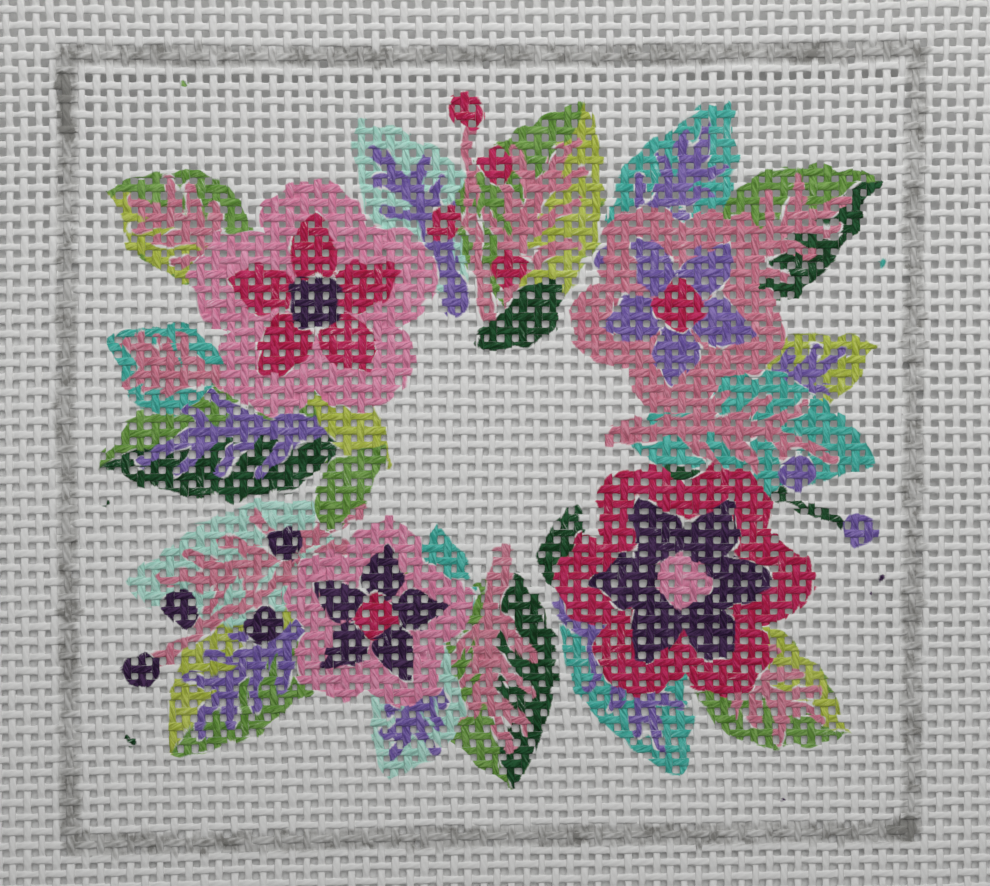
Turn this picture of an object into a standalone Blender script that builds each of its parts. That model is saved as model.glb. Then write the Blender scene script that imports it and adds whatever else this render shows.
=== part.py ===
"""A piece of mono needlepoint canvas, bound with tape, as it lies on a table with its painted side up.

The threads of each direction are true in number, width, pitch and length. They lie here in two layers,
the wefts below and the warps above, with every mesh hole open between them. The far end of the canvas
still curls up a little from the roll, and the wefts run slightly off square.
The picture is paint on the threads, so it is colour and has no solid.
"""

import bpy
import bmesh

# Driving dimensions, in metres
INCH = 0.0254
THREADS_PER_INCH = 13
PITCH = INCH / THREADS_PER_INCH
DESIGN_COLUMNS = 58  # pitches between the border lines, left to right
DESIGN_ROWS = 54  # pitches between the border lines, front to back
MARGIN_THREADS = 20  # bare canvas outside the border, about an inch and a half
WARP_WIDTH = 0.00094
WEFT_WIDTH = 0.00098
THREAD_DEPTH = 0.00042  # one thread, pressed flat by the sizing
LAYER_GAP = 0.00010  # between the two layers of threads, and between threads and tape
GLUE_STRIP = 0.004  # the tape's glue joins the cut ends of one direction over this length
TAPE_FLAP = 0.011  # how far the folded tape reaches in over the canvas, on each face
TAPE_THICK = 0.00020
TAPE_CHAMFER = 0.00018  # the fold of the tape is rounded off by this much
TAPE_BUTT_GAP = 0.0003  # between a side tape and the tape that it meets
SKEW = 0.0205  # rise of a weft along its length: the canvas lies 1.2 degrees off square
CURL_START = 0.012  # distance behind the middle where the canvas leaves the table
CURL_LIFT = 0.013  # height of the far edge
CURL_FACETS = 4

# Derived sizes
WARP_COUNT = DESIGN_COLUMNS + 1 + 2 * MARGIN_THREADS
WEFT_COUNT = DESIGN_ROWS + 1 + 2 * MARGIN_THREADS
HALF_WIDTH = WARP_COUNT * PITCH / 2
HALF_LENGTH = WEFT_COUNT * PITCH / 2
WEFT_LOW = TAPE_THICK + LAYER_GAP
WARP_LOW = WEFT_LOW + THREAD_DEPTH + LAYER_GAP
TAPE_HEIGHT = WARP_LOW + THREAD_DEPTH + LAYER_GAP + TAPE_THICK
TAPE_OUTSIDE = LAYER_GAP + TAPE_THICK  # how far the fold stands off the cut edge
CURL_END = HALF_LENGTH - TAPE_FLAP - PITCH  # the bound edge beyond this is straight

# The corners of the tape's end face, by their place in fold_profile(): lower flap, fold and upper flap
TAPE_END_FACES = [(0, 1, 2, 3), (0, 3, 9), (9, 3, 4, 8), (8, 4, 7), (7, 4, 5, 6)]

COTTON = ("canvas_cotton", (0.70, 0.70, 0.69), 0.92)
TAPE = ("binding_tape", (0.78, 0.74, 0.64), 0.75)


def smooth_lift(v):
    """Height of the canvas above the table at v, measured from the middle towards the far edge."""
    past = max(0.0, v - CURL_START) / (HALF_LENGTH - CURL_START)
    return CURL_LIFT * past * past


def curl_stations():
    """The places along the length where the faceted curl bends."""
    step = (CURL_END - CURL_START) / CURL_FACETS
    return [CURL_START + step * n for n in range(CURL_FACETS + 1)]


def facet_lift(v):
    """The same height on the flat facets between the stations. The outer facets run on straight."""
    stops = curl_stations()
    if v <= stops[0]:
        return 0.0
    low, high = next(((a, b) for a, b in zip(stops, stops[1:]) if v <= b), (stops[-1], HALF_LENGTH))
    share = (v - low) / (high - low)
    return smooth_lift(low) * (1 - share) + smooth_lift(high) * share


def lay(u, v, w):
    """A point of the flat, square canvas, moved to where it lies: off square, and curled at the far end."""
    return (u, v + SKEW * u, w + facet_lift(v))


def thread_places(count):
    """The middle of each thread across the canvas, at one pitch from each other."""
    return [(n - (count - 1) / 2) * PITCH for n in range(count)]


def material(finish):
    """A plain material from its name, colour and roughness, made once."""
    name, colour, roughness = finish
    made = bpy.data.materials.get(name)
    if made is None:
        made = bpy.data.materials.new(name)
        made.use_nodes = True
        shader = made.node_tree.nodes["Principled BSDF"]
        shader.inputs["Base Color"].default_value = (*colour, 1)
        shader.inputs["Roughness"].default_value = roughness
        shader.inputs["Metallic"].default_value = 0
    return made


def finished(name, shape, finish):
    """Turns a closed bmesh into a node of that name."""
    bmesh.ops.recalc_face_normals(shape, faces=shape.faces)
    mesh = bpy.data.meshes.new(name)
    shape.to_mesh(mesh)
    shape.free()
    mesh.materials.append(material(finish))
    node = bpy.data.objects.new(name, mesh)
    bpy.context.scene.collection.objects.link(node)
    return node


def threads(name, places, width, half_run, bends, low, place):
    """One direction of threads as one body: parallel bars, joined at both ends by the strip of glue.

    The bars and strips are cells of a grid of lines across and along the threads.
    place(across, along, height) says where a grid point lies on the flat canvas.
    """
    across = [edge for middle in places for edge in (middle - width / 2, middle + width / 2)]
    strips = [-half_run, -half_run + GLUE_STRIP, half_run - GLUE_STRIP, half_run]
    along = sorted(strips + bends)
    columns, rows = len(across) - 1, len(along) - 1
    shape = bmesh.new()
    corners = {}

    def corner(i, j, top):
        if (i, j, top) not in corners:
            height = low + THREAD_DEPTH if top else low
            corners[i, j, top] = shape.verts.new(lay(*place(across[i], along[j], height)))
        return corners[i, j, top]

    def solid(i, j):
        inside = 0 <= i < columns and 0 <= j < rows
        return inside and (i % 2 == 0 or j in (0, rows - 1))

    for i in range(columns):
        for j in range(rows):
            if not solid(i, j):
                continue
            ring = [(i, j), (i + 1, j), (i + 1, j + 1), (i, j + 1)]
            shape.faces.new([corner(a, b, True) for a, b in ring])
            shape.faces.new([corner(a, b, False) for a, b in reversed(ring)])
            beyond = [(i, j - 1), (i + 1, j), (i, j + 1), (i - 1, j)]
            for (a, b), (c, d), other in zip(ring, ring[1:] + ring[:1], beyond):
                if not solid(*other):
                    shape.faces.new([corner(a, b, False), corner(c, d, False), corner(c, d, True), corner(a, b, True)])
    return finished(name, shape, COTTON)


def fold_profile():
    """The folded tape in cross-section, as (distance in from its outer edge, height), round the outline."""
    reach = TAPE_OUTSIDE + TAPE_FLAP
    top, cut = TAPE_HEIGHT, TAPE_CHAMFER
    return [
        (cut, 0), (reach, 0), (reach, TAPE_THICK), (TAPE_THICK, TAPE_THICK),
        (TAPE_THICK, top - TAPE_THICK), (reach, top - TAPE_THICK), (reach, top),
        (cut, top), (0, top - cut), (0, cut),
    ]


def tape(name, stations, place):
    """A strip of tape folded over an edge. place(in, along, height) puts the profile on the flat canvas."""
    shape = bmesh.new()
    rings = [[shape.verts.new(lay(*place(inward, at, height))) for inward, height in fold_profile()] for at in stations]
    for ring, after in zip(rings, rings[1:]):
        for n in range(len(ring)):
            m = (n + 1) % len(ring)
            shape.faces.new([ring[n], ring[m], after[m], after[n]])
    for ring in (rings[0], rings[-1]):
        for corners in TAPE_END_FACES:
            shape.faces.new([ring[n] for n in corners])
    return finished(name, shape, TAPE)


def build():
    for old in list(bpy.data.objects):
        bpy.data.objects.remove(old)

    threads("weft_threads", thread_places(WEFT_COUNT), WEFT_WIDTH, HALF_WIDTH, [], WEFT_LOW,
            lambda across, along, height: (along, across, height))
    threads("warp_threads", thread_places(WARP_COUNT), WARP_WIDTH, HALF_LENGTH, curl_stations(), WARP_LOW,
            lambda across, along, height: (across, along, height))

    outer_u, outer_v = HALF_WIDTH + TAPE_OUTSIDE, HALF_LENGTH + TAPE_OUTSIDE
    across_ends = [-outer_u, outer_u]
    side_end = HALF_LENGTH - TAPE_FLAP - TAPE_BUTT_GAP
    side_stops = [-side_end] + [v for v in curl_stations() if v < side_end] + [side_end]
    tape("tape_front", across_ends, lambda inward, along, height: (along, inward - outer_v, height))
    tape("tape_back", across_ends, lambda inward, along, height: (along, outer_v - inward, height))
    tape("tape_left", side_stops, lambda inward, along, height: (inward - outer_u, along, height))
    tape("tape_right", side_stops, lambda inward, along, height: (outer_u - inward, along, height))


build()
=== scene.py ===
"""A painted needlepoint canvas: interlaced cotton threads, the paint on them, and the tape on its edges.

Lengths are in metres. The flat canvas has its own coordinates: u along the wefts, v along the warps and w up
from the table. lie() puts them where the canvas lies. The picture is drawn in thread pitches from its middle.
"""

import math

import bpy
import numpy as np
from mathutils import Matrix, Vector


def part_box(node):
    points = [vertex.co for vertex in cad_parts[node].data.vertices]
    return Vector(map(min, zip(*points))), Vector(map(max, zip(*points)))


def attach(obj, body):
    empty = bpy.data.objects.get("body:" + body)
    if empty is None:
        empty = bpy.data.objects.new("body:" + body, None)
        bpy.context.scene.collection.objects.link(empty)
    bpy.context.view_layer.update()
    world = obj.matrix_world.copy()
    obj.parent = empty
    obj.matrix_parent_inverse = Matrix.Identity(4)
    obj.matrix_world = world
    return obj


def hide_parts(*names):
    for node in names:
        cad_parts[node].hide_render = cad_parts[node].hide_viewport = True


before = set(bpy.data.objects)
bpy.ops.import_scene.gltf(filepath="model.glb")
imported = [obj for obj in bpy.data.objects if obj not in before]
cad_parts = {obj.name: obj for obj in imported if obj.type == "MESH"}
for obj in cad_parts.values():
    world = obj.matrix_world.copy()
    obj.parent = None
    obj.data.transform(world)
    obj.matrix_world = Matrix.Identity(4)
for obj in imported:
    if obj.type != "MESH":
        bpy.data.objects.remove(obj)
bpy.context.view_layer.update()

MM = 0.001

# The canvas as the model was built
PITCH = 0.0254 / 13
HALF_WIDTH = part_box("weft_threads")[1][0]
WARPS = round(2 * HALF_WIDTH / PITCH)
WEFTS = WARPS - 4  # the picture is four pitches wider than high
HALF_LENGTH = WEFTS * PITCH / 2
SKEW = 0.0205
CURL_START = 12 * MM
CURL_LIFT = 13 * MM
WAVE_LIFT = 0.8 * MM
WAVE_U, WAVE_V = 50 * MM, 2 * MM  # the wave's highest point
WAVE_REACH_U, WAVE_REACH_V = 30 * MM, 26 * MM
LAYER_GAP = 0.1 * MM
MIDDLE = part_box("warp_threads")[0][2] - LAYER_GAP / 2  # height of the weave's middle where it lies flat
TAPE_OUTSIDE = 0.3 * MM
TAPE_FLAP = 11 * MM
TAPE_THICK = 0.2 * MM
TAPE_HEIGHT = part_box("tape_front")[1][2]

# The threads
THREAD_WIDTH = {"warp": 0.98 * MM, "weft": 0.95 * MM}
THREAD_DEPTH = 0.44 * MM
CRIMP = 0.115 * MM  # how far a thread rises and dips as it passes over and under
TWIST_LENGTH = 7.6 * MM  # one turn of the plies
RING_PLACES = (-0.38, -0.26, 0.0, 0.26, 0.38)  # rings of points before and after each crossing, in pitches
SIDES = 12
SECTION_WIDE, SECTION_DEEP = 0.78, 0.62  # powers that press the round section towards a flat one
FLARE_UNDER, FLARE_OVER = 0.20, 0.09  # how much wider a thread is beside a crossing
PAINT_COAT = 0.10  # how much wider the paint makes a thread
GROUPS = 6  # pieces that the threads of each direction are made in

# The drawn border, in pitches from the middle of the picture
LINE_U, LINE_V = 29, 27

rng = np.random.default_rng(13)


def lift(u, v):
    """How high the canvas lies off the table: its curl at the far end, and a slight wave on the right."""
    curl = CURL_LIFT * (np.clip(v - CURL_START, 0, None) / (HALF_LENGTH - CURL_START)) ** 2
    wave = WAVE_LIFT * np.exp(-(((u - WAVE_U) / WAVE_REACH_U) ** 2) - ((v - WAVE_V) / WAVE_REACH_V) ** 2)
    return curl + wave


def eased(values, middle, width):
    """A slow rise from 0 to 1 around middle, or a fall where width is negative."""
    return 0.5 + 0.5 * np.tanh((values - middle) / width)


def drift(u, v):
    """Slow unevenness of the weave, in pitches: threads crowd here, spread there and bow."""
    a, b = u / PITCH, v / PITCH
    along_u = 0.16 * np.sin(b / 11 + 0.8) * np.cos(a / 23) + 0.10 * np.sin(a / 13 + b / 31)
    along_v = 0.14 * np.sin(a / 12.5 + 2.1) * np.cos(b / 27) + 0.08 * np.sin(b / 9.5 - a / 33)
    bow = np.cos(np.clip(a / 62, -0.5, 0.5) * math.pi)
    along_u += 0.78 * bow * eased(b, -19, -4) - 0.36 * np.exp(-(((a + 31) / 12) ** 2) - ((b - 4) / 15) ** 2)
    along_v -= 0.41 * a / 31 * eased(b, -7, 18) + 0.45 * bow * eased(b, 11, 8)
    return along_u, along_v


def lie(u, v, w):
    """Points of the flat canvas where they lie: drawn uneven, off square, and curled at the far end."""
    edge = np.clip(np.minimum(HALF_WIDTH - np.abs(u), HALF_LENGTH - np.abs(v)) / (14 * PITCH), 0, 1)
    along_u, along_v = drift(u, v)
    x = u + along_u * PITCH * edge
    y = v + along_v * PITCH * edge
    return np.stack([x, y + SKEW * x, w + lift(u, v)], axis=-1)


def steady(values, reach):
    """Random values smoothed along the last axis, with their spread kept."""
    kernel = np.hanning(2 * reach + 1)
    kernel /= math.sqrt((kernel**2).sum())
    padded = np.pad(values, [(0, 0)] * (values.ndim - 1) + [(reach, reach)], mode="wrap")
    return np.apply_along_axis(lambda row: np.convolve(row, kernel, "valid"), -1, padded)


# Brush strokes and painted areas, in thread pitches from the middle of the picture

FAR = 1.0  # the distance to a painted edge is kept up to this many pitches


class Area:
    """A painted area: how far a point lies inside its edge, asked only near the area."""

    def __init__(self, middle, reach, inside):
        self.middle, self.reach, self.inside = middle, reach + FAR, inside


def polar(middle, angle, radius):
    """The point at this angle, in degrees from the right, and distance from another point."""
    turn = math.radians(angle)
    return (middle[0] + radius * math.cos(turn), middle[1] + radius * math.sin(turn))


def between(a, b, share):
    return (a[0] + (b[0] - a[0]) * share, a[1] + (b[1] - a[1]) * share)


def disc(middle, radius):
    return Area(middle, radius, lambda x, y: radius - np.hypot(x - middle[0], y - middle[1]))


def bloom(middle, radius, petals, notch, turn):
    """A flower's outline: round petals side by side, with notches between them."""
    def inside(x, y):
        angle = np.arctan2(y - middle[1], x - middle[0]) - math.radians(turn)
        rim = radius * (1 - notch * (1 - np.abs(np.cos(petals * angle / 2)) ** 0.7))
        return rim - np.hypot(x - middle[0], y - middle[1])
    return Area(middle, radius, inside)


def leaf(base, tip, half_width, bow=0.0, side=0, full=0.45):
    """A pointed leaf from base to tip, bowed to the left. side keeps its left (1) or right (-1) half."""
    long = math.dist(base, tip)
    ahead = ((tip[0] - base[0]) / long, (tip[1] - base[1]) / long)

    def inside(x, y):
        along = (x - base[0]) * ahead[0] + (y - base[1]) * ahead[1]
        across = (y - base[1]) * ahead[0] - (x - base[0]) * ahead[1]
        share = np.clip(along / long, 0, 1)
        across = across - 4 * bow * share * (1 - share)
        rim = half_width * np.sin(np.pi * share ** (math.log(0.5) / math.log(full))) ** 0.85
        depth = rim - np.abs(across)
        if side:
            depth = np.minimum(depth, across * side)
        beyond = np.maximum(-along, along - long)
        return np.where(beyond > 0, np.minimum(depth, -beyond), depth)
    middle = between(base, tip, 0.5)
    return Area(middle, long / 2 + half_width + abs(bow), inside)


def stroke(start, bend, end, wide, narrow):
    """A brush stroke along a curve that bends towards a point, and its width at both ends."""
    t = np.linspace(0, 1, 13)[:, None]
    line = (1 - t) ** 2 * np.array(start) + 2 * t * (1 - t) * np.array(bend) + t**2 * np.array(end)
    radii = (wide + (narrow - wide) * t[:, 0]) / 2

    def inside(x, y):
        best = np.full(x.shape, -np.inf)
        for a, b, ra, rb in zip(line, line[1:], radii, radii[1:]):
            step = b - a
            share = np.clip(((x - a[0]) * step[0] + (y - a[1]) * step[1]) / (step @ step), 0, 1)
            gap = np.hypot(x - a[0] - share * step[0], y - a[1] - share * step[1])
            best = np.maximum(best, ra + (rb - ra) * share - gap)
        return best
    middle = line.mean(axis=0)
    return Area(tuple(middle), float(np.hypot(*(line - middle).T).max()) + wide, inside)


class Picture:
    """The painted areas, in the order in which they went on."""

    def __init__(self):
        self.areas = []

    def add(self, paint, *areas):
        self.areas += [(paint, area) for area in areas]

    def veined_leaf(self, base, tip, half_width, bow, paint, shade, vein, pairs=3):
        """A leaf with one half in a second paint, a midrib and slanting side veins."""
        self.add(paint, leaf(base, tip, half_width, bow))
        if shade:
            self.add(shade, leaf(base, tip, half_width, bow, side=-1 if bow > 0 else 1))
        ahead = math.degrees(math.atan2(tip[1] - base[1], tip[0] - base[0]))
        rise = polar((0, 0), ahead + 90, 1)
        middle = between(base, tip, 0.5)
        bend = (middle[0] + 2 * bow * rise[0], middle[1] + 2 * bow * rise[1])
        self.add(vein, stroke(between(base, tip, -0.06), bend, between(base, tip, 0.82), 1.6, 0.8))
        for n in range(pairs):
            share = 0.2 + 0.5 * n / pairs
            arch = 4 * bow * share * (1 - share)
            root = between(base, tip, share)
            root = (root[0] + arch * rise[0], root[1] + arch * rise[1])
            for turn in (42, -42):
                end = polar(root, ahead + turn, half_width * (0.98 - 0.35 * share))
                self.add(vein, stroke(root, between(root, polar(end, ahead, 0.5), 0.5), end, 1.1, 0.7))

    def flower(self, middle, radius, turn, petal, inner, heart, petals=5):
        """A flower with a darker inner stroke on each petal, and a round heart."""
        self.add(petal, bloom(middle, radius, petals, 0.30, turn))
        for n in range(petals):
            angle = turn + 360 * n / petals
            root, tip = (polar(middle, angle, radius * share) for share in (0.1, 0.74))
            self.add(inner, leaf(root, tip, radius * 0.2))
        self.add(heart, disc(middle, radius * 0.22))

    def sprig(self, start, bend, end, stem, berry, count, size):
        """A stem with berries to both sides."""
        self.add(stem, stroke(start, bend, end, 0.9, 0.7))
        ahead = math.degrees(math.atan2(end[1] - start[1], end[0] - start[0]))
        for n in range(count):
            t = (n + 0.7) / count
            at = between(between(start, bend, t), between(bend, end, t), t)
            if n == count - 1:
                out = polar(at, ahead, size * 0.8)
            else:
                out = polar(at, ahead + (75 if n % 2 else -75), size * 1.7)
            self.add(stem, stroke(at, between(at, out, 0.5), out, 0.7, 0.7))
            self.add(berry, disc(out, size))

    def depths(self, x, y):
        """For each paint, 0 well outside its areas, 1 well inside and 0.5 on their edges, at each point.

        Each area takes the place of what was painted there before, and leaves a thin uneven gap round it.
        """
        sway_x = 0.14 * np.sin(0.9 * x + 1.7 * y) + 0.10 * np.sin(2.3 * y - 0.8 * x + 2)
        sway_y = 0.14 * np.sin(1.9 * x - 0.7 * y + 1) + 0.10 * np.sin(2.9 * x + 1.1 * y)
        gap = 0.22 * np.sin(1.3 * x + 0.6 * y) * np.sin(0.9 * y - 0.5 * x) - 0.02
        gap += 0.10 * np.sin(3.7 * x - 2.9 * y)
        x, y = x + sway_x, y + sway_y
        found = {paint: np.full(len(x), -FAR) for paint in PAINTS}
        for paint, area in self.areas:
            near = (np.abs(x - area.middle[0]) < area.reach) & (np.abs(y - area.middle[1]) < area.reach)
            if not near.any():
                continue
            depth = area.inside(x[near], y[near])
            for other, values in found.items():
                if other == paint:
                    values[near] = np.maximum(values[near], depth)
                else:
                    values[near] = np.minimum(values[near], -depth - gap[near])
        return {paint: np.clip(0.5 + values / (2 * FAR), 0, 1) for paint, values in found.items()}


def wreath():
    """A ring of flowers, leaves and berries."""
    picture = Picture()

    def at(angle, radius):
        """A point of the wreath, which is a little wider than high."""
        x, y = polar((0, 0), angle, radius)
        return (x * 1.05, 0.2 + y * 0.97)

    # Leaves from under the flowers outwards: from, to, half width, bow, paint, second paint, veins
    for base, tip, half_width, bow, paint, shade, vein in (
        (at(104, 11), at(111, 25.0), 3.7, -1.0, "mint", None, "violet"),
        (at(82, 9), at(76, 25.2), 5.0, 1.4, "leaf", "lime", "rose"),
        (at(61, 16), at(58, 28.8), 3.6, -0.9, "teal", None, "violet"),
        (at(36, 17), at(37, 31.5), 4.2, 1.0, "leaf", "forest", "rose"),
        (at(14, 14), at(16, 26.0), 3.2, -0.8, "lime", None, "violet"),
        (at(3, 9), at(-3, 25.2), 4.4, 1.3, "teal", None, "rose"),
        (at(-44, 19), at(-42, 31.5), 4.0, -0.9, "leaf", "lime", "rose"),
        (at(-67, 13), at(-63, 27.0), 3.6, 1.0, "teal", None, "violet"),
        (at(-84, 9), at(-88, 24.6), 4.8, -1.2, "leaf", "forest", "rose"),
        (at(-107, 14), at(-107, 25.0), 3.2, 0.8, "mint", None, "violet"),
        (at(-131, 16), at(-134, 30.5), 4.2, -1.1, "lime", "leaf", "violet"),
        (at(-153, 11), at(-157, 26.0), 4.0, 1.2, "mint", None, "rose"),
        (at(176, 9), at(-177, 25.6), 4.8, -1.3, "leaf", "forest", "violet"),
        (at(164, 18), at(163, 26.0), 3.2, 0.8, "teal", None, "rose"),
        (at(143, 20), at(144, 31.0), 3.8, -0.9, "leaf", "lime", "rose"),
    ):
        picture.veined_leaf(base, tip, half_width, bow, paint, shade, vein)
    for angle, turn, paint in (
        (70, 30, "forest"), (-64, 26, "forest"), (-96, -26, "teal"), (166, 28, "lime"), (-150, -28, "leaf"),
    ):
        picture.add(paint, leaf(at(angle, 12.5), at(angle + turn, 7.0), 1.8, 0.7))
    picture.sprig(at(93, 9), at(96, 17), at(94, 24), "rose", "crimson", 4, 1.2)
    picture.sprig(at(-10, 12), at(-9, 18), at(-15, 25.5), "forest", "violet", 3, 1.2)
    picture.sprig(at(-143, 12), at(-146, 20), at(-145, 28), "rose", "plum", 4, 1.25)
    picture.flower(at(139, 15.4), 8.6, 20, "pink", "crimson", "plum")
    picture.flower(at(39, 15.6), 7.6, 50, "rose", "violet", "crimson")
    picture.flower(at(-38, 16.0), 8.8, 0, "crimson", "plum", "pink", petals=6)
    picture.flower(at(-121, 14.4), 6.6, 10, "pink", "plum", "crimson")

    # Darker stretches of the border, and drops of paint that fell beside the picture
    picture.add("slate", stroke((-29.3, 25.6), (-29.0, 24), (-29.1, 21.6), 0.9, 0.75))
    picture.add("slate", disc((28.6, -26.8), 0.7), disc((27.5, -26.9), 0.45))
    for x, y, size, paint in (
        (-25.0, -20.0, 0.38, "forest"), (-26.0, -3.8, 0.22, "forest"), (5.9, -5.0, 0.34, "forest"),
        (-21.0, 25.3, 0.24, "leaf"), (-6.0, -8.7, 0.28, "leaf"), (27.0, 12.4, 0.24, "teal"),
        (27.0, -9.2, 0.20, "plum"), (26.3, -10.0, 0.16, "plum"), (20.0, -24.8, 0.18, "plum"),
    ):
        picture.add(paint, disc((x, y), size))
    return picture


def border_depth(x, y):
    """How far a point is inside the drawn border: a wash over one thread and the holes beside it."""
    out_u, out_v = np.abs(x) - LINE_U - 0.04, np.abs(y) - LINE_V - 0.05
    edge = np.where((out_u > 0) & (out_v > 0), np.hypot(out_u, out_v), np.abs(np.maximum(out_u, out_v)))
    return 0.70 + 0.08 * np.sin(x / 1.7 + 1) * np.sin(y / 1.3) - edge


# Meshes


def piece(name, points, faces, material, values=None):
    """A mesh object, smooth, riding on the part. values holds what its material reads at each point."""
    mesh = bpy.data.meshes.new(name)
    corners = np.concatenate([f.ravel() for f in faces])
    sizes = np.concatenate([np.full(len(f), f.shape[1]) for f in faces])
    mesh.vertices.add(len(points))
    mesh.vertices.foreach_set("co", points.astype(np.float32).ravel())
    mesh.loops.add(len(corners))
    mesh.loops.foreach_set("vertex_index", corners.astype(np.int32))
    mesh.polygons.add(len(sizes))
    mesh.polygons.foreach_set("loop_start", np.concatenate([[0], np.cumsum(sizes)[:-1]]).astype(np.int32))
    mesh.polygons.foreach_set("loop_total", sizes.astype(np.int32))
    mesh.update(calc_edges=True)
    mesh.shade_smooth()
    for key, numbers in (values or {}).items():
        kind = "FLOAT_VECTOR" if numbers.ndim == 2 else "FLOAT"
        field = "vector" if numbers.ndim == 2 else "value"
        mesh.attributes.new(key, kind, "POINT").data.foreach_set(field, numbers.astype(np.float32).ravel())
    mesh.materials.append(material)
    made = bpy.data.objects.new(name, mesh)
    bpy.context.scene.collection.objects.link(made)
    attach(made, "root")
    return made


def paint_values(x, y, strand):
    """What the cotton's material reads at points of the picture."""
    values = picture.depths(x, y)
    values["border"] = np.clip(0.5 + border_depth(x, y) / (2 * FAR), 0, 1)
    values["strand"] = strand
    return values


def tube_faces(count, rings, sides=SIDES):
    """The faces of count tubes, each of rings rings of points, and their ends."""
    ring = np.arange(sides)
    quad = np.stack([ring, (ring + 1) % sides, (ring + 1) % sides + sides, ring + sides], axis=-1)
    wall = quad[None, :, :] + sides * np.arange(rings - 1)[:, None, None]
    ends = np.stack([ring[::-1], ring + sides * (rings - 1)])
    starts = sides * rings * np.arange(count)
    return [
        (wall[None] + starts[:, None, None, None]).reshape(-1, 4),
        (ends[None] + starts[:, None, None]).reshape(-1, sides),
    ]


MAP_GAP = 0.004


def tube_map(made, count, rings, sides=SIDES, rows=2, columns=1):
    """The map of a group of tubes: each unrolled and cut into rows strips, the tubes stacked in columns."""
    layer = made.data.uv_layers.new(name="OFBake")
    steps = rings - 1
    per_row = math.ceil(steps / rows)
    step, side = np.meshgrid(np.arange(steps), np.arange(sides), indexing="ij")
    across = np.stack([step % per_row + c for c in (0, 0, 1, 1)], axis=-1) / per_row
    turn = np.stack([side + c for c in (0, 1, 1, 0)], axis=-1) / sides
    row = (step // per_row)[..., None]
    tube = np.arange(count)[:, None, None, None]
    stacked = math.ceil(count / columns)
    u = (tube // stacked + 0.04 * (columns > 1) + across * (1 - 0.08 * (columns > 1))) / columns
    u = MAP_GAP + (1 - 2 * MAP_GAP) * u
    v = (tube % stacked * rows + row + 0.06 + 0.88 * turn) / (stacked * rows)
    wall = np.stack([u, v], axis=-1).reshape(-1, 2)
    end_turn = 2 * math.pi * np.arange(sides) / sides
    end = np.stack([MAP_GAP / 2 + 0.001 * np.cos(end_turn), 0.5 + 0.001 * np.sin(end_turn)], axis=-1)
    ends = np.tile(end, (2 * count, 1))
    layer.data.foreach_set("uv", np.concatenate([wall, ends]).astype(np.float32).ravel())


def thread_group(kind, picks, total, crossings, half_run, index):
    """Some neighbouring threads of one direction, each passing over and under those that it crosses."""
    cross = (np.arange(crossings)[:, None] + np.array(RING_PLACES)).ravel()
    cross = np.concatenate([[-0.5], cross, [crossings - 0.5]])
    run = (cross + 0.5) * PITCH - half_run
    rings = len(run)
    phase = math.pi * cross
    wave = (np.cos(phase) - 0.10 * np.cos(3 * phase)) / 0.9
    node = np.cos(2 * phase)
    flare = np.exp(-(((np.abs(cross - np.round(cross)) - 0.27) / 0.08) ** 2))
    side = 2 * math.pi * np.arange(SIDES) / SIDES
    flat_cos = np.sign(np.cos(side)) * np.abs(np.cos(side)) ** SECTION_WIDE
    flat_sin = np.sign(np.sin(side)) * np.abs(np.sin(side)) ** SECTION_DEEP
    points, places, strands = [], [], []
    for pick in picks:
        sign = (1 if pick % 2 == 0 else -1) * (1 if kind == "warp" else -1)
        rise = sign * wave
        wander = np.interp(cross, np.arange(crossings), wanders[kind][pick]) * PITCH
        swell = np.interp(cross, np.arange(crossings), swells[kind][pick])
        middle = (pick - (total - 1) / 2) * PITCH + wander
        reached = run / PITCH + np.interp(cross, np.arange(crossings), jags[kind][pick])
        centre = (-middle / PITCH, reached) if kind == "warp" else (reached, middle / PITCH)
        painted = np.maximum.reduce(list(picture.depths(*centre).values())) > 0.5
        spread = flare * np.where(rise < 0, FLARE_UNDER, FLARE_OVER)
        half_wide = THREAD_WIDTH[kind] / 2 * (1 + swell + 0.03 * node + spread + PAINT_COAT * painted)
        half_deep = THREAD_DEPTH / 2 * (1 - 0.3 * swell - 0.12 * node)
        twist = 2 * math.pi * run / TWIST_LENGTH + 2.4 * pick
        around = side[None, :] + twist[:, None]
        lobes = 1 + 0.04 * np.cos(2 * around) + 0.025 * np.cos(3 * around + 1)
        across = middle[:, None] + half_wide[:, None] * flat_cos * lobes
        up = CRIMP * rise[:, None] + half_deep[:, None] * flat_sin * lobes
        along = np.broadcast_to(run[:, None], across.shape)
        u, v = (-across, along) if kind == "warp" else (along, across)
        points.append(np.stack([u, v, up], axis=-1).reshape(-1, 3))
        ahead = np.broadcast_to(reached[:, None], across.shape)
        place = (-across / PITCH, ahead) if kind == "warp" else (ahead, across / PITCH)
        places.append(np.stack(place, axis=-1).reshape(-1, 2))
        start = 31.7 * pick + (0 if kind == "warp" else 5000)
        strand = np.stack([along / MM + start, np.cos(around), np.sin(around)], axis=-1)
        strands.append(strand.reshape(-1, 3))
    u, v, up = np.concatenate(points).T
    values = paint_values(*np.concatenate(places).T, np.concatenate(strands))
    faces = tube_faces(len(picks), rings)
    made = piece(f"{kind}_threads_{index}", lie(u, v, MIDDLE + up), faces, cotton, values)
    tube_map(made, len(picks), rings)
    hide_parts(f"{kind}_threads")
    cloth = len(picks) * THREAD_WIDTH[kind] * 2 * half_run
    2 * half_run


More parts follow.
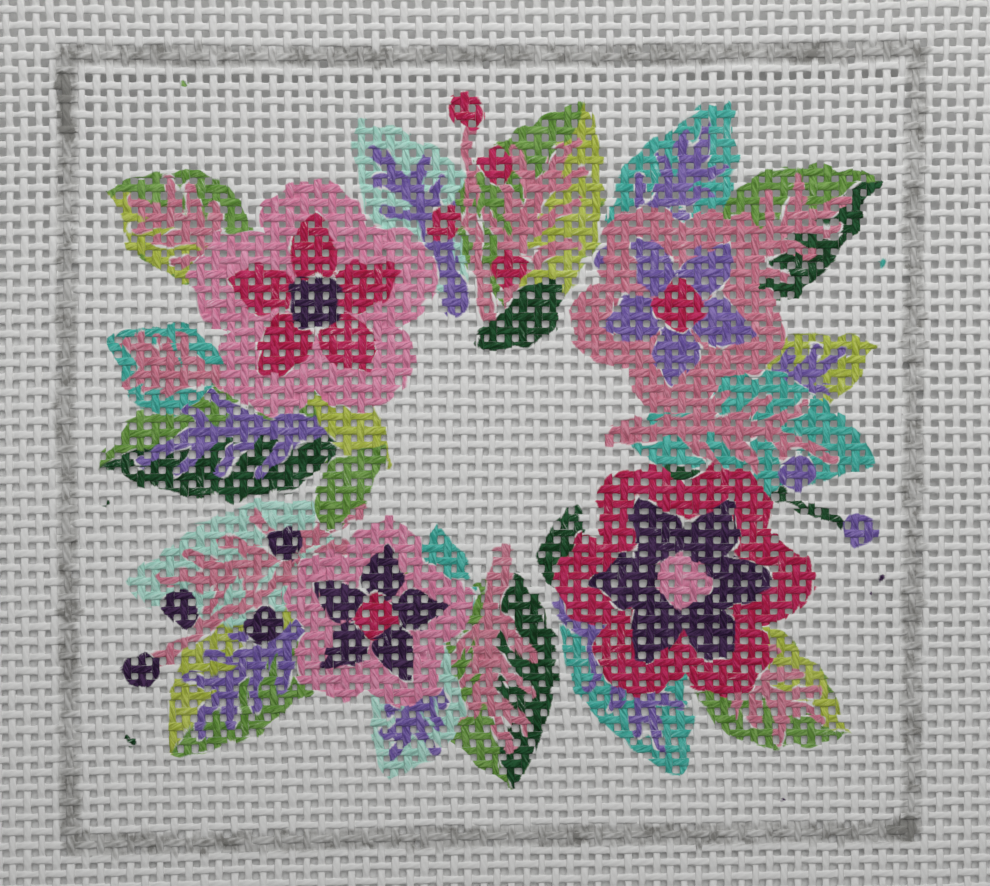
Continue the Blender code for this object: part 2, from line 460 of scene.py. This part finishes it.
FILM_THICK = 0.04 * MM
FILM_REACH = 0.36  # from the middle of a hole into the threads around it, in pitches
FILM_STEPS = 5  # points along each side of a patch
BORDER_OPEN = 0.12  # share of the border's holes that stay open
PICTURE_CLOSED = 0.07  # share of the holes that close where the paint lies thick
THICK_PAINTS = ("pink", "rose", "mint")
THICK_DEPTH = 0.62  # how far inside an area of these a hole lies to close, from 0.5 on its edge to 1


def dried_film():
    """Wash and paint that dried across mesh holes: most along the border, and a few in the picture."""
    columns = np.arange(-LINE_U - 2, LINE_U + 2) + 0.5
    rows = np.arange(-LINE_V - 2, LINE_V + 2) + 0.5
    x, y = (g.ravel() for g in np.meshgrid(columns, rows, indexing="ij"))
    chance = rng.random(len(x))
    depths = picture.depths(x, y)
    thickly = np.maximum.reduce([depths[paint] for paint in THICK_PAINTS]) > THICK_DEPTH
    kept = (border_depth(x, y) > 0.05) & (chance > BORDER_OPEN) | thickly & (chance < PICTURE_CLOSED)
    x, y = x[kept], y[kept]
    steps = np.linspace(-1, 1, FILM_STEPS)
    grid_a, grid_b = (g.ravel() for g in np.meshgrid(steps, steps, indexing="ij"))
    sag = 0.10 * MM * (1 - grid_a**2) * (1 - grid_b**2)
    skirt = 0.05 * MM
    u = (x[:, None] + FILM_REACH * grid_a) * PITCH
    v = (y[:, None] + FILM_REACH * grid_b) * PITCH
    tilt = rng.normal(size=(len(x), 2)) * 0.05 * MM
    up = skirt - sag + tilt[:, :1] * grid_a + tilt[:, 1:] * grid_b
    strand = np.stack([u / MM + 900, np.cos(0.4 * v / MM), np.sin(0.4 * v / MM)], axis=-1)
    top = lie(u, v, MIDDLE + up).reshape(-1, 3)
    low = lie(u, v, MIDDLE + up - FILM_THICK).reshape(-1, 3)
    cell = np.arange(FILM_STEPS**2).reshape(FILM_STEPS, FILM_STEPS)
    quads = np.stack([cell[:-1, :-1], cell[1:, :-1], cell[1:, 1:], cell[:-1, 1:]], axis=-1).reshape(-1, 4)
    rim = np.concatenate([cell[:, 0], cell[-1, 1:], cell[-2::-1, -1], cell[0, -2:0:-1]])
    below = cell.size * len(x)
    walls = np.stack([np.roll(rim, -1), rim, rim + below, np.roll(rim, -1) + below], axis=-1)
    one = np.concatenate([quads, quads[:, ::-1] + below, walls])
    faces = (one[None] + cell.size * np.arange(len(x))[:, None, None]).reshape(-1, 4)
    place = np.tile(u.ravel(), 2) / PITCH, np.tile(v.ravel(), 2) / PITCH
    values = paint_values(*place, np.tile(strand.reshape(-1, 3), (2, 1)))
    made = piece("dried_film", np.concatenate([top, low]), [faces], cotton, values)
    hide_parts("weft_threads")


FIBRES = 2600
FIBRE_RADIUS = 0.013 * MM
FIBRE_BENDS = 5
FIBRE_SIDES = 3
FIBRE_COLUMNS = 51  # of their map
BOUND = TAPE_FLAP + 1 * MM  # the edge of the canvas that the tape hides


def stray_fibres():
    """Single fibres that stand off the threads, as cotton has them."""
    warp = rng.random(FIBRES) < 0.5
    half_run = np.where(warp, HALF_LENGTH, HALF_WIDTH) - BOUND
    half_across = np.where(warp, HALF_WIDTH, HALF_LENGTH) - BOUND
    pick = np.round(rng.uniform(-1, 1, FIBRES) * half_across / PITCH)
    side = rng.choice([-1, 1], FIBRES)
    t = np.linspace(0, 1, FIBRE_BENDS)[None, :]
    long, bulge, free, high = (rng.uniform(*span, (FIBRES, 1)) * MM for span in (
        (0.5, 1.6), (0.03, 0.30), (-0.1, 0.35), (0.02, 0.22)))
    along = rng.uniform(-1, 1, FIBRES)[:, None] * half_run[:, None] + long * t
    across = pick[:, None] * PITCH + side[:, None] * (0.38 * MM + bulge * np.sin(math.pi * t) + free * t**2)
    up = 0.16 * MM + high * np.sin(math.pi * t) - 0.12 * MM * t
    u = np.where(warp[:, None], across, along)
    v = np.where(warp[:, None], along, across)
    turn = 2 * math.pi * np.arange(FIBRE_SIDES) / FIBRE_SIDES
    ring_across, ring_up = FIBRE_RADIUS * np.cos(turn), FIBRE_RADIUS * np.sin(turn)
    ring_u = u[..., None] + np.where(warp[:, None, None], ring_across, 0)
    ring_v = v[..., None] + np.where(warp[:, None, None], 0, ring_across)
    ring_w = up[..., None] + ring_up
    flat_u, flat_v, flat_w = ring_u.ravel(), ring_v.ravel(), ring_w.ravel()
    strand = np.stack([flat_u / MM + 70, flat_v / MM, flat_w / MM], axis=-1)
    values = paint_values(flat_u / PITCH, flat_v / PITCH, strand)
    faces = tube_faces(FIBRES, FIBRE_BENDS, FIBRE_SIDES)
    made = piece("stray_fibres", lie(flat_u, flat_v, MIDDLE + flat_w), faces, cotton, values)
    tube_map(made, FIBRES, FIBRE_BENDS, FIBRE_SIDES, rows=1, columns=FIBRE_COLUMNS)
    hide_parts("weft_threads")


def tape_piece(name, along, place):
    """A folded tape: its cross-section carried along the edge, with the weave pressed through it."""
    step = PITCH / 4
    reach = TAPE_OUTSIDE + TAPE_FLAP
    half = TAPE_HEIGHT / 2
    flat = np.arange(half, reach, step)[::-1]
    fold = np.linspace(math.pi / 2, -math.pi / 2, 9)
    one = np.ones(len(flat))
    inward = np.concatenate([flat, half - half * np.cos(fold), flat[::-1]])
    height = np.concatenate([one * TAPE_HEIGHT, half + half * np.sin(fold), one * 0])
    out_in = np.concatenate([one * 0, np.cos(fold), one * 0])
    out_up = np.concatenate([one, np.sin(fold), -one])
    stations = np.linspace(along[0], along[1], round((along[1] - along[0]) / step) + 1)
    rows, columns = len(stations), len(inward)
    s, i = np.meshgrid(stations, inward, indexing="ij")
    u, v = place(i, s)
    pressed = 0.09 * MM * (np.cos(2 * math.pi * u / PITCH) + np.cos(2 * math.pi * v / PITCH)) / 2
    ruffle = 0.04 * MM * np.sin(s / (2.7 * MM) + 1.3 * np.sin(i / (3 * MM)))
    settle = 0.22 * MM * np.clip((i - 2.5 * MM) / (3 * MM), 0, 1)
    top = out_up > 0.5
    rise = np.where(top, pressed + ruffle - 0.05 * MM - settle, 0)
    layers = []
    for inset in (0.0, TAPE_THICK):
        across = i + out_in * inset
        up = height + rise - out_up * inset
        u, v = place(across, s)
        layers.append(lie(u, v, up).reshape(-1, 3))
    grid = np.arange(rows * columns).reshape(rows, columns)
    outer = np.stack([grid[:-1, :-1], grid[:-1, 1:], grid[1:, 1:], grid[1:, :-1]], axis=-1).reshape(-1, 4)
    rim = np.concatenate([grid[0, :], grid[1:, -1], grid[-1, -2::-1], grid[-2:0:-1, 0]])
    shift = rows * columns
    after = np.roll(rim, -1)
    walls = np.stack([after, rim, rim + shift, after + shift], axis=-1)
    faces = np.concatenate([outer, outer[:, ::-1] + shift, walls])
    weave_place = np.stack([s / MM, i / MM + height / MM, np.zeros_like(s)], axis=-1).reshape(-1, 3)
    values = {"cloth": np.tile(weave_place, (2, 1))}
    made = piece(f"{name}_cloth", np.concatenate(layers), [faces], cloth, values)
    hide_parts(name)
    along[1] - along[0]


# Materials


class Field:
    """What a node gives at each point of a surface. Arithmetic on it adds Math nodes."""

    def __init__(self, finish, socket):
        self.finish, self.socket = finish, socket

    def math(self, operation, *others, **settings):
        numbers = dict(enumerate((self, *others)))
        return self.finish.node("ShaderNodeMath", {"operation": operation, **settings}, numbers)

    def __add__(self, other):
        return self.math("ADD", other)

    __radd__ = __add__

    def __mul__(self, other):
        return self.math("MULTIPLY", other)

    __rmul__ = __mul__

    def __sub__(self, other):
        return self.math("SUBTRACT", other)

    def __rsub__(self, other):
        return self.finish.node("ShaderNodeMath", {"operation": "SUBTRACT"}, {0: other, 1: self})

    def __truediv__(self, other):
        return self.math("DIVIDE", other)

    def held(self):
        """The value kept from 0 to 1."""
        return self.math("ADD", 0.0, use_clamp=True)

    def soft(self, low, high):
        """0 below low, 1 above high, and an eased rise between."""
        return self.finish.node(
            "ShaderNodeMapRange", {"interpolation_type": "SMOOTHSTEP"},
            {"Value": self, "From Min": low, "From Max": high, "To Min": 0.0, "To Max": 1.0})

    def part(self, index):
        """One number of a vector."""
        return self.finish.node("ShaderNodeSeparateXYZ", {}, {"Vector": self}, out=index)


class Finish:
    """A material with one Principled shader, and the nodes that vary it."""

    def __init__(self, name, **shader_values):
        self.material = bpy.data.materials.new(name)
        self.material.use_nodes = True
        self.tree = self.material.node_tree
        self.shader = self.tree.nodes["Principled BSDF"]
        for key, value in shader_values.items():
            self.shader.inputs[key.replace("_", " ")].default_value = value

    def node(self, kind, settings=None, sockets=None, out=0):
        """Adds a node, with its settings first and then its sockets' values or links. Gives one output."""
        made = self.tree.nodes.new(kind)
        for key, value in (settings or {}).items():
            setattr(made, key, value)
        for key, value in (sockets or {}).items():
            self.feed(made.inputs[key], value)
        return Field(self, made.outputs[out])

    def feed(self, socket, value):
        if isinstance(value, Field):
            self.tree.links.new(value.socket, socket)
        elif isinstance(value, tuple) and socket.type == "RGBA":
            socket.default_value = (*value, 1)
        else:
            socket.default_value = value

    def attribute(self, name, out="Fac"):
        return self.node("ShaderNodeAttribute", {"attribute_name": name}, out=out)

    def mixed(self, share, first, second):
        """A colour between two, by share."""
        return self.node("ShaderNodeMix", {"data_type": "RGBA"}, {0: share, 6: first, 7: second}, out=2)

    def noise(self, where, scale, detail=2.0, roughness=0.5):
        return self.node("ShaderNodeTexNoise", {}, {
            "Vector": where, "Scale": scale, "Detail": detail, "Roughness": roughness}, out="Fac")

    def stretched(self, where, factors):
        return self.node("ShaderNodeVectorMath", {"operation": "MULTIPLY"}, {0: where, 1: factors})

    def bumped(self, height, distance, strength=1.0):
        return self.node("ShaderNodeBump", {}, {"Height": height, "Distance": distance, "Strength": strength})

    def set(self, **fields):
        for key, value in fields.items():
            self.feed(self.shader.inputs[key.replace("_", " ")], value)


def shown(*levels, light=0.73):
    """The colour of a surface that shows as these levels, from 0 to 255, in this much light."""
    return tuple(min(1.0, ((level / 255 + 0.055) / 1.055) ** 2.4 / light) for level in levels)


PAINTS = {
    "mint": shown(145, 194, 180),
    "teal": shown(48, 154, 141),
    "lime": shown(150, 165, 50),
    "leaf": shown(82, 129, 44),
    "forest": shown(5, 48, 17),
    "rose": shown(180, 96, 118),
    "violet": shown(94, 72, 146),
    "pink": shown(194, 108, 142),
    "crimson": shown(160, 12, 57),
    "plum": shown(34, 12, 47),
    "slate": shown(104, 104, 100),
}
COTTON = (0.86, 0.86, 0.85)
WASH = shown(120, 119, 116)


def painted_cotton():
    """Sized white cotton under paint, ragged at its edges and streaked along the strands with real thin and
    pooled paint, painted highlights and painted shade in the grooves.
    """
    finish = Finish("painted_cotton", Roughness=0.9, Specular_IOR_Level=0.12)
    strand = finish.attribute("strand", "Vector")
    place = finish.stretched(finish.node("ShaderNodeTexCoord", out="Object"), (1 / MM, 1 / MM, 1 / MM))
    around = strand.part(2).math("ARCTAN2", strand.part(1))
    ply = 0.5 - (around * 4).math("COSINE") * 0.5
    fibres = finish.noise(finish.stretched(strand, (0.30, 1.0, 1.0)), 2.1, 2.0, 0.55)
    fine = finish.noise(finish.stretched(strand, (0.8, 1.0, 1.0)), 6.0, 2.0, 0.6)
    patches = finish.noise(place, 0.22, 2.0)
    clouds = finish.noise(place, 0.13, 2.0)
    up = finish.node("ShaderNodeNewGeometry", out="Normal").part(2)

    # Bare cotton with random fibre tone, and painted shade that makes it a little darker between the plies
    tone = (ply * 0.30 + fibres * 0.7 + fine * 0.45 - 0.2).held()
    colour = finish.mixed(tone, tuple(c * 0.83 for c in COTTON), COTTON)

    # Paint covers what faces up, and less of it where the brush was dry
    dry = patches.soft(0.50, 0.66)
    ragged = (fibres - 0.5) * 0.55 + (fine - 0.5) * 0.25
    reached = (up + ragged * 0.8 - dry * 0.22).soft(0.02, 0.34)
    scratched = 1 - dry * (fibres + fine * 0.4).soft(0.80, 0.92) * 0.5
    # Lighter and darker streaks along the strands: painted highlight on the ridges and painted shade in the
    # ply grooves, together with real thin dry paint and pooled paint
    highlight_and_dry_streak = (fibres + fine * 0.35).soft(0.56, 0.84) * 0.85 + clouds.soft(0.50, 0.70) * 0.24
    groove_shade_and_pooling = 1 - (fibres * 0.7 + ply * 0.3).soft(0.26, 0.62)
    covered = None
    for paint, tint in PAINTS.items():
        depth = (finish.attribute(paint) - 0.5) * (2 * FAR) + ragged * 0.45
        mask = (depth / 0.10 + 0.5).held() * reached * scratched
        # A paler copy of each paint for the painted highlights and dry paint, and a darker copy for the
        # painted groove shade and pooled paint
        highlit_and_dry_tint = tuple(c**0.62 for c in tint)
        shaded_and_pooled_tint = tuple(c * 0.58 for c in tint)
        toned = finish.mixed(highlight_and_dry_streak, finish.mixed(groove_shade_and_pooling * 0.85, tint, shaded_and_pooled_tint), highlit_and_dry_tint)
        colour = finish.mixed(mask, colour, toned)
        covered = mask if covered is None else covered.math("MAXIMUM", mask)

    # The wash of the border, thin and blotched
    blotch = finish.noise(place, 0.55, 3.0, 0.6)
    wash = (finish.attribute("border") - 0.5) * (2 * FAR) + ragged * 0.5
    wash = (wash / 0.38 + 0.5).held() * (up + ragged).soft(-0.1, 0.3)
    streaked = ragged * 0.9 + (0.5 - ply) * 0.26 + (clouds - 0.5) * 0.7
    strength = 0.48 + 0.26 * blotch.soft(0.40, 0.60) + 0.30 * blotch.soft(0.58, 0.66) + streaked
    colour = finish.mixed((wash * strength).held(), colour, WASH)
    finish.set(Base_Color=colour, Roughness=0.92 - 0.28 * covered)
    finish.set(Normal=finish.bumped(ply * 0.45 + fibres * 0.5 + fine * 0.3, 0.05 * MM, 0.8))
    return finish.material


def binding_cloth():
    finish = Finish("binding_cloth", Roughness=0.85)
    place = finish.attribute("cloth", "Vector")
    along = (place.part(0) * (2 * math.pi / 0.55)).math("SINE")
    over = (place.part(1) * (2 * math.pi / 0.42)).math("SINE")
    weave = along * over * 0.5 + 0.5
    cloud = finish.noise(place, 0.12, 3.0)
    slub = finish.noise(finish.stretched(place, (0.4, 3.0, 1.0)), 1.0, 2.0)
    tone = (weave * 0.5 + cloud * 0.4 + slub * 0.4 - 0.18).held()
    finish.set(Base_Color=finish.mixed(tone, (0.56, 0.525, 0.44), (0.80, 0.77, 0.69)))
    finish.set(Normal=finish.bumped(weave * 0.9 + slub * 0.5, 0.06 * MM, 0.9))
    return finish.material


def table_top():
    finish = Finish("pale_table", Roughness=0.7)
    place = finish.node("ShaderNodeTexCoord", out="Object")
    cloud = finish.noise(place, 6.0, 3.0)
    finish.set(Base_Color=finish.mixed(cloud, (0.94, 0.94, 0.94), (0.97, 0.97, 0.96)))
    return finish.material


# Building it all

CROSSINGS = {"warp": (WARPS, WEFTS), "weft": (WEFTS, WARPS)}  # threads, and crossings on each


def uneven(reach, spread, thread_spread):
    """Random numbers for each thread's crossings, smoothed along it, plus one number for each thread."""
    return {
        kind: steady(rng.normal(size=size), reach) * spread + rng.normal(size=(size[0], 1)) * thread_spread
        for kind, size in CROSSINGS.items()
    }


# How far a thread strays, how far its paint runs past the drawn edge, and how much wider it is
wanders = uneven(3, 0.024, 0.024)
jags = {kind: rng.normal(size=size) * 0.19 for kind, size in CROSSINGS.items()}
swells = uneven(2, 0.065, 0.035)

picture = wreath()
cotton = painted_cotton()
for kind, half_run in (("warp", HALF_LENGTH), ("weft", HALF_WIDTH)):
    total, crossings = CROSSINGS[kind]
    for index, picks in enumerate(np.array_split(np.arange(total), GROUPS)):
        thread_group(kind, picks, total, crossings, half_run, index + 1)
dried_film()
stray_fibres()

cloth = binding_cloth()
outer_u, outer_v = HALF_WIDTH + TAPE_OUTSIDE, HALF_LENGTH + TAPE_OUTSIDE
side_end = HALF_LENGTH - TAPE_FLAP - TAPE_OUTSIDE
tape_piece("tape_front", (-outer_u, outer_u), lambda i, s: (s, i - outer_v))
tape_piece("tape_back", (-outer_u, outer_u), lambda i, s: (-s, outer_v - i))
tape_piece("tape_left", (-side_end, side_end), lambda i, s: (i - outer_u, -s))
tape_piece("tape_right", (-side_end, side_end), lambda i, s: (outer_u - i, s))

# The table, the lights and the camera

bpy.ops.mesh.primitive_plane_add(size=4)
table = bpy.context.object
table.name = "table"
table.data.materials.append(table_top())


def area_light(name, place, size, power):
    """A square light that faces the middle of the canvas."""
    data = bpy.data.lights.new(name, "AREA")
    data.size, data.energy = size, power
    lamp = bpy.data.objects.new(name, data)
    lamp.location = place
    lamp.rotation_euler = Vector(place).to_track_quat("Z", "Y").to_euler()
    bpy.context.scene.collection.objects.link(lamp)


area_light("window", (0.03, 0.19, 0.24), size=0.32, power=0.74)
area_light("ceiling", (0.1, 0.1, 1.5), size=1.8, power=2.4)
world = bpy.data.worlds.new("room")
world.use_nodes = True
world.node_tree.nodes["Background"].inputs["Color"].default_value = (1.0, 1.0, 1.0, 1)
world.node_tree.nodes["Background"].inputs["Strength"].default_value = 0.20
bpy.context.scene.world = world

# The camera looks straight down on the picture
CAMERA_PLACE = (0.52 * MM, 0.50 * MM, 270.4 * MM)
CAMERA_ROLL = 0.0031
LENS_MM = 72.5
camera_data = bpy.data.cameras.new("camera")
camera_data.lens = LENS_MM
camera_data.clip_start = 0.01
camera = bpy.data.objects.new("camera", camera_data)
camera.location = CAMERA_PLACE
camera.rotation_euler = (0, 0, CAMERA_ROLL)
bpy.context.scene.collection.objects.link(camera)
bpy.context.scene.camera = camera
bpy.context.scene.view_settings.view_transform = "Standard"
